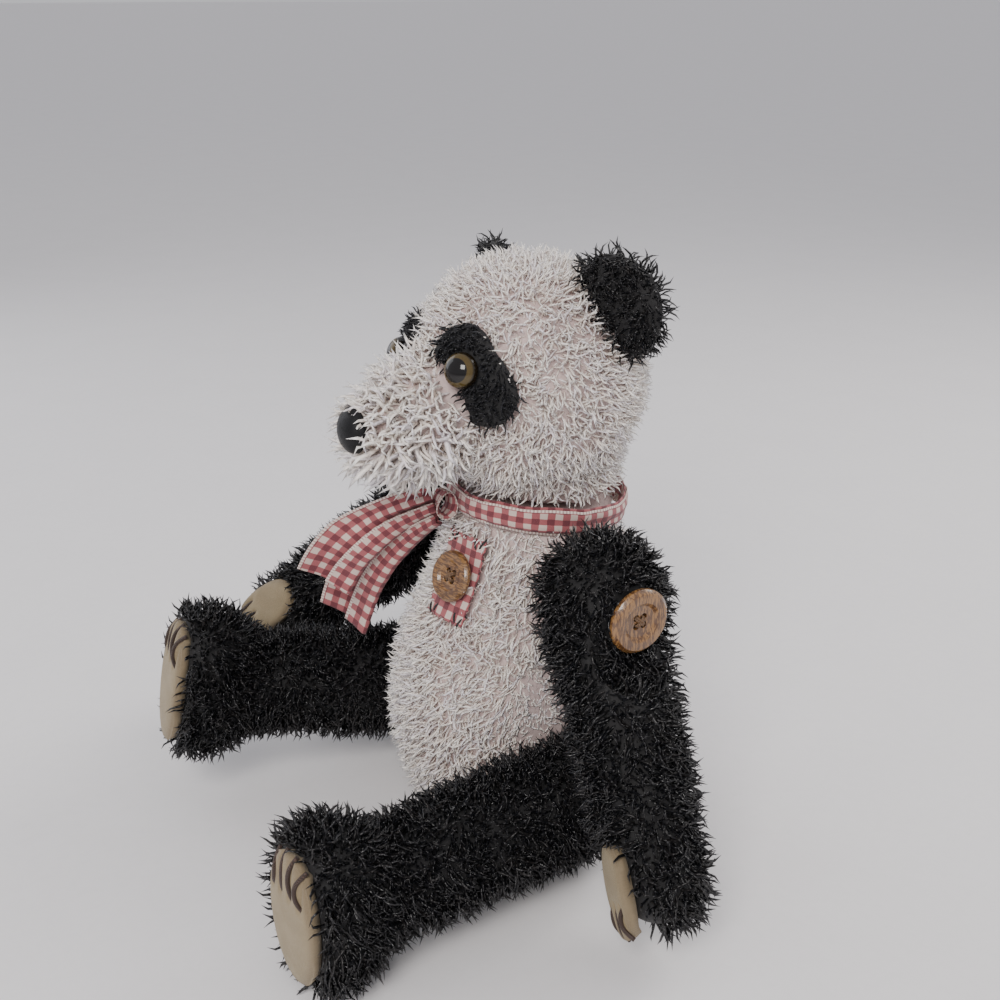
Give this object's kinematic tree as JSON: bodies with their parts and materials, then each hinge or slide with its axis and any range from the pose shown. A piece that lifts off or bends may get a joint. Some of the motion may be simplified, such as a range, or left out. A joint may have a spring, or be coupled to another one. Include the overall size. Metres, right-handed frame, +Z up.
{
  "type": "plush panda",
  "caption": "Sitting jointed plush panda with curly pile, gingham neck ribbon, suede pads and wooden buttons; its head, arms and legs turn on disc joints.",
  "frame": {"origin": "centre of the flat seat, on the surface that the panda sits on", "axes": "+Z up, the panda faces -Y, its left side is towards +X"},
  "size_m": [0.2952, 0.2147, 0.2757],
  "materials": {
    "white_pile": "curly glossy chenille pile, cream white",
    "black_pile": "curly glossy chenille pile, black with a blue and brown glint",
    "patch_pile": "shorter trimmed black pile",
    "stuffing": "loose polyester fibre",
    "pellet_cloth": "plain cloth bag of pellets",
    "suede": "matt tan suede",
    "claw_thread": "thick dark brown thread",
    "black_thread": "black thread",
    "gingham": "woven check of dark red, pink and cream",
    "button_wood": "polished, with fine grain",
    "button_thread": "brown thread",
    "nose_plastic": "matt black",
    "eye_plastic": "glossy brown with a black pupil",
    "disc_plastic": "moulded, plain",
    "pin_steel": "plain"
  },
  "bodies": {
    "torso": {"torso_cover": "white_pile", "torso_stuffing": "stuffing", "pellet_bag": "pellet_cloth", "limb_socket_discs": "disc_plastic", "neck_socket_disc": "disc_plastic", "chest_patch": "gingham", "patch_stitches": "black_thread", "chest_button": "button_wood", "chest_button_thread": "button_thread", "neck_ribbon": "gingham", "ribbon_knot": "gingham", "ribbon_tail_front": "gingham", "ribbon_tail_back": "gingham"},
    "head": {"head_cover": "white_pile", "head_stuffing": "stuffing", "ear_left": "black_pile", "ear_right": "black_pile", "eye_patch_left": "patch_pile", "eye_patch_right": "patch_pile", "eye_left": "eye_plastic", "eye_right": "eye_plastic", "nose": "nose_plastic", "face_washers": "disc_plastic", "mouth_stitch": "black_thread", "neck_disc": "disc_plastic", "neck_pin": "pin_steel", "neck_lock_washer": "pin_steel"},
    "arm_left": {"arm_cover_left": "black_pile", "arm_stuffing_left": "stuffing", "paw_pad_left": "suede", "paw_stitches_left": "claw_thread", "shoulder_button_left": "button_wood", "button_thread_left": "button_thread", "shoulder_disc_left": "disc_plastic", "shoulder_pin_left": "pin_steel", "shoulder_lock_washer_left": "pin_steel"},
    "arm_right": {"arm_cover_right": "black_pile", "arm_stuffing_right": "stuffing", "paw_pad_right": "suede", "paw_stitches_right": "claw_thread", "shoulder_button_right": "button_wood", "button_thread_right": "button_thread", "shoulder_disc_right": "disc_plastic", "shoulder_pin_right": "pin_steel", "shoulder_lock_washer_right": "pin_steel"},
    "leg_left": {"leg_cover_left": "black_pile", "leg_stuffing_left": "stuffing", "sole_pad_left": "suede", "toe_stitches_left": "claw_thread", "hip_disc_left": "disc_plastic", "hip_pin_left": "pin_steel", "hip_lock_washer_left": "pin_steel"},
    "leg_right": {"leg_cover_right": "black_pile", "leg_stuffing_right": "stuffing", "sole_pad_right": "suede", "toe_stitches_right": "claw_thread", "hip_disc_right": "disc_plastic", "hip_pin_right": "pin_steel", "hip_lock_washer_right": "pin_steel"}
  },
  "joints": [
    {"name": "neck_turn", "type": "hinge", "parent": "torso", "child": "head", "pos_m": [0, 0.01395, 0.15939], "axis": [0, 0.0872, 0.9962], "range_deg": [-60, 60]},
    {"name": "shoulder_left_turn", "type": "hinge", "parent": "torso", "child": "arm_left", "pos_m": [0.044, 0.00471, 0.1341], "axis": [-1, 0, 0], "range_deg": [-66, 92]},
    {"name": "shoulder_right_turn", "type": "hinge", "parent": "torso", "child": "arm_right", "pos_m": [-0.044, 0.00471, 0.1341], "axis": [-1, 0, 0], "range_deg": [-100, 58]},
    {"name": "hip_left_turn", "type": "hinge", "parent": "torso", "child": "leg_left", "pos_m": [0.044, -0.004, 0.036], "axis": [-1, 0, 0], "range_deg": [-100, 16]},
    {"name": "hip_right_turn", "type": "hinge", "parent": "torso", "child": "leg_right", "pos_m": [-0.044, -0.004, 0.036], "axis": [-1, 0, 0], "range_deg": [-112, 4]}
  ]
}
